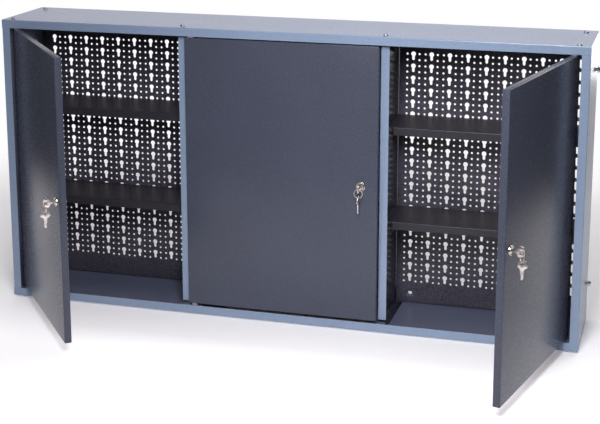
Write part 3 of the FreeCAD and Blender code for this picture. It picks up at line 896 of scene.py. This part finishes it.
# A turn climbs by this share of the wire's height, so the two turns stay in touch.
RING_CLIMB = 0.9
RING_TURNS, RING_STEPS = 2, 96
RING_DROP = 9.39


def split_ring():
    """Two turns of flat wire about the Y axis, its centre below the eye."""
    bm = bmesh.new()
    section = [(RING_RADIUS - RING_WIRE, -RING_HEIGHT), (RING_RADIUS, -RING_HEIGHT),
               (RING_RADIUS, -RING_GAP), (RING_RADIUS - RING_WIRE, -RING_GAP)]
    verts = [bm.verts.new((radius, y, 0)) for radius, y in section]
    edges = [bm.edges.new(pair) for pair in zip(verts, verts[1:] + verts[:1])]
    climb = RING_CLIMB * RING_HEIGHT * RING_TURNS / RING_STEPS
    bmesh.ops.spin(bm, geom=verts + edges, cent=(0, 0, 0), axis=(0, 1, 0), dvec=(0, climb, 0),
                   angle=2 * math.pi * RING_TURNS, steps=RING_STEPS)
    bmesh.ops.holes_fill(bm, edges=[edge for edge in bm.edges if edge.is_boundary], sides=4)
    bmesh.ops.translate(bm, verts=bm.verts, vec=(0, 0, -RING_DROP))
    return bm


for door in DOORS:
    eye = lock_space(door) @ Matrix.Translation((0, -EYE_OUT, 0))
    hand_over(door + "_cut_key", hanging_key(), "key_nickel", door + "_key",
              place=eye @ Matrix.Rotation(math.pi / 2, 4, "X"), instead_of=[door + "_key"])
    hand_over(door + "_split_ring", split_ring(), "key_nickel", door + "_ring", place=eye,
              instead_of=[door + "_key_ring"])
    hand_over(door + "_cut_spare_key", hanging_key(), "key_nickel", door + "_spare",
              place=eye @ Matrix.Translation((0, 0, -2 * RING_DROP)),
              instead_of=[door + "_spare_key"])

# %% [markdown]
# ## Screws and bolts of the carcass
# Pan head screws join the top and bottom sheets to the flanges inside them, two at each end and one
# over each divider. Two bolts with domed heads stand out from each side, for a neighbour cabinet or
# a rail. They are small, but they are the only marks on the plain sheets.

# %% Carcass screws
SCREW_HEAD_RADIUS, SCREW_HEAD_HEIGHT = 5.4, 3.8
SCREW_PLACES = [(-577.6, -182.2), (577.6, -182.2), (-577.6, -30), (577.6, -30),
                (-208.5, -171), (208.5, -171)]


def carcass_screws(name, upside_down):
    """Six screws in the top sheet, turned over for the bottom one."""
    bm = pan_head(SCREW_HEAD_RADIUS, SCREW_HEAD_HEIGHT)
    bmesh.ops.rotate(bm, verts=bm.verts, cent=(0, 0, 0),
                     matrix=Matrix.Rotation(-math.pi / 2, 3, "X"))
    bmesh.ops.translate(bm, verts=bm.verts, vec=(*SCREW_PLACES[0], HALF_HEIGHT))
    first = Vector((*SCREW_PLACES[0], 0))
    copies(bm, everything(bm), [Vector((x, y, 0)) - first for x, y in SCREW_PLACES[1:]])
    if upside_down:
        bmesh.ops.scale(bm, verts=bm.verts, vec=(1, 1, -1))
    hand_over(name, bm, "clip_zinc", "carcass")


carcass_screws("top_screws", False)
carcass_screws("bottom_screws", True)

# %% Side bolts
BOLT_Y, BOLT_HEIGHTS = -46, (-207, 231)
BOLT_PROFILE = [(0, 0), (3.4, 0), (3.4, -3.2), (6.2, -3.2), (6.2, -4.4), (5.6, -6.9), (4.3, -8.6),
                (2.2, -9.6), (0, -9.8)]
BOLT_NUT_CORNER, BOLT_NUT_HEIGHT = 5.8, 5


def side_bolts(name, side):
    """Domed bolt heads outside a side panel and their nuts inside; side is +1 towards +X."""
    bm = bmesh.new()
    turned(bm, BOLT_PROFILE)
    join(bm, cut_plate([circle(BOLT_NUT_CORNER, 6)], SHEET, SHEET + BOLT_NUT_HEIGHT, easing=0.4))
    bmesh.ops.rotate(bm, verts=bm.verts, cent=(0, 0, 0),
                     matrix=Matrix.Rotation(side * math.pi / 2, 3, "Z"))
    bmesh.ops.translate(bm, verts=bm.verts, vec=(side * HALF_WIDTH, BOLT_Y, BOLT_HEIGHTS[0]))
    copies(bm, everything(bm), [(0, 0, BOLT_HEIGHTS[1] - BOLT_HEIGHTS[0])])
    hand_over(name, bm, "clip_zinc", "carcass")


side_bolts("left_side_bolts", -1)
side_bolts("right_side_bolts", 1)

# %% [markdown]
# ## Floor
# One large flat floor could fill the room, but its far edge would show as a horizon. This one is
# an oval table of pale matt acrylic that turns clear towards its rim. It glows in front and at its
# two ends, with no lamp below it: this glow is painted light, which takes the weight out of the
# shadow before the cabinet and makes up for the lamps' light, which grows weaker away from the middle.

# %% Floor finish, in metres
FLOOR_FULL, FLOOR_GONE, FLOOR_STRETCH = 0.92, 1.6, 1.2
# Strengths of the floor's painted glow, in front and at its two ends.
FRONT_GLOW_FROM, FRONT_GLOW_TO, FRONT_GLOW = 0.0, -0.4, 0.5
END_GLOW_FROM, END_GLOW_TO, END_GLOW = 0.7, 1.4, 0.55
FLOOR_MOTTLE_MM, FLOOR_GRAIN_MM = 400, 20


def painted_floor_glow(tree, place):
    """Painted glow of the floor, stronger in front and at its two ends."""
    across = add_node(tree, "SeparateXYZ", {"Vector": place}).outputs
    front = between(tree, across["Y"], 0.0, FRONT_GLOW, FRONT_GLOW_FROM, FRONT_GLOW_TO)
    sideways = add_node(tree, "Math", {0: across["X"]}, operation="ABSOLUTE").outputs["Value"]
    ends = between(tree, sideways, 0.0, END_GLOW, END_GLOW_FROM, END_GLOW_TO)
    return add_node(tree, "Math", {0: front, 1: ends}, operation="MAXIMUM").outputs["Value"]


def floor_fade(tree, place):
    """How clear the floor is: 0 in the middle of the oval and 1 at its rim."""
    squeezed = add_node(tree, "VectorMath", {0: place, 1: (1 / FLOOR_STRETCH, 1, 1)},
                        operation="MULTIPLY")
    distance = add_node(tree, "VectorMath", {0: squeezed.outputs["Vector"]}, operation="LENGTH")
    return add_node(tree, "MapRange", {"Value": distance.outputs["Value"]}, From_Min=FLOOR_FULL,
                    From_Max=FLOOR_GONE, interpolation_type="SMOOTHSTEP").outputs["Result"]


def pale_acrylic():
    """Matt acrylic with a painted glow, turning clear towards its rim."""
    material, tree, place = new_finish("pale_floor")
    mottle = add_node(tree, "TexNoise", {"Vector": place}, Scale=1 / (FLOOR_MOTTLE_MM * MM))
    grain = add_node(tree, "TexNoise", {"Vector": place}, Scale=1 / (FLOOR_GRAIN_MM * MM))
    # The emission is painted light that lifts the shadow on the floor before the cabinet.
    shader = add_node(tree, "BsdfPrincipled", {
        "Base Color": between(tree, mottle.outputs["Fac"], "#f4f4f6", "#f8f8fa"),
        "Roughness": between(tree, grain.outputs["Fac"], 0.6, 0.7),
        "Emission Color": linear("#fff8fd"), "Emission Strength": painted_floor_glow(tree, place)},
        IOR=1.4)
    clear = add_node(tree, "BsdfTransparent")
    mixed = add_node(tree, "MixShader", {0: floor_fade(tree, place), 1: shader.outputs["BSDF"],
                                         2: clear.outputs["BSDF"]})
    add_node(tree, "OutputMaterial", {"Surface": mixed.outputs["Shader"]})
    return material


floor_finish = pale_acrylic()
print("floor is solid to", FLOOR_FULL, "m and clear at", FLOOR_GONE, "m")

# %% Floor
FLOOR_LEVEL = -0.3035
floor_bm = bmesh.new()
bmesh.ops.create_grid(floor_bm, x_segments=1, y_segments=1, size=FLOOR_GONE)
bmesh.ops.scale(floor_bm, verts=floor_bm.verts, vec=(FLOOR_STRETCH, 1, 1))
bmesh.ops.translate(floor_bm, verts=floor_bm.verts, vec=(0, 0, FLOOR_LEVEL))
floor = put_in_scene("floor", mesh_of(floor_bm, "floor"))
floor.data.materials.append(floor_finish)
print("floor is", [round(size, 2) for size in floor.dimensions], "m")

# %% [markdown]
# ## Lights
# Painted sheet shows its shape by what it mirrors, so the lights are placed for their reflections
# as much as for their light. A small softbox high in front, a little right of the middle, lights
# the fronts. It sits too high to be mirrored in the closed door, and it meets the outer faces of
# the open doors at such a flat angle that they stay dark. A second one in the same place has a
# honeycomb grid, so its light falls off to the left and leaves the left bay deeper. A strip
# overhead runs along the cabinet and draws the bright line on the top fold. A white screen behind,
# a shade warm, is mirrored in the top and the side, which are seen at a grazing angle, and three
# small softboxes do the same for the side and the door rims. The screen reaches below the floor,
# because the side mirrors it through the clear rim.

# %% Lights
FRONT_LAMP = (0.4, -1.6, 1.0)


def softbox(name, place, aim, width, height, watts, tint="#ffffff", beam=180):
    """Area light turned to a point; a honeycomb grid in front of it narrows its beam."""
    light = bpy.data.lights.new(name, "AREA")
    light.shape = "RECTANGLE"
    light.size, light.size_y = width, height
    light.energy = watts
    light.color = linear(tint)[:3]
    light.spread = math.radians(beam)
    lamp = put_in_scene(name, light)
    lamp.location = place
    lamp.rotation_euler = (Vector(aim) - Vector(place)).to_track_quat("-Z", "Y").to_euler()
    lamp.visible_camera = False


softbox("front_softbox", FRONT_LAMP, (0, 0, 0), 0.4, 0.7, 15)
softbox("gridded_softbox", FRONT_LAMP, (0.25, 0, 0), 0.4, 0.7, 3, beam=70)
softbox("overhead_softbox", (0, 0.25, 1.9), (0, 0, 0.3), 2.4, 0.25, 14)
softbox("right_softbox", (1.2, 1.0, 1.0), (0.6, -0.1, 0.3), 0.6, 0.6, 7)
softbox("side_softbox", (0.8, 1.5, 0.12), (0.6, -0.1, 0.15), 0.4, 0.4, 2.0)
softbox("left_softbox", (-1.6, -0.3, 0.6), (-0.4, -0.3, 0), 0.6, 0.6, 4)
softbox("rear_screen", (-0.3, 1.6, 0.25), (-0.3, 0, 0.25), 2.6, 2.1, 17.5, tint="#fff6f7")

# %% [markdown]
# ## Surroundings
# The camera sees a plain white ground. The metal must not be lit by that white from all round, or
# every reflection would wash out, so all other rays meet a dim, slightly cool room instead.

# %% Surroundings
ROOM_STRENGTH = 0.03
world = bpy.data.worlds.new("studio")
world.use_nodes = True
scene.world = world
room = world.node_tree
room.nodes.clear()
seen = add_node(room, "Background", Color=(1, 1, 1, 1), Strength=1.0)
dim = add_node(room, "Background", Color=linear("#dfe3ea"), Strength=ROOM_STRENGTH)
ray = add_node(room, "LightPath")
either = add_node(room, "MixShader", {0: ray.outputs["Is Camera Ray"],
                                      1: dim.outputs["Background"],
                                      2: seen.outputs["Background"]})
add_node(room, "OutputWorld", {"Surface": either.outputs["Shader"]})
scene.view_settings.view_transform = "Standard"
print("all but the camera's rays meet a room of strength", ROOM_STRENGTH)
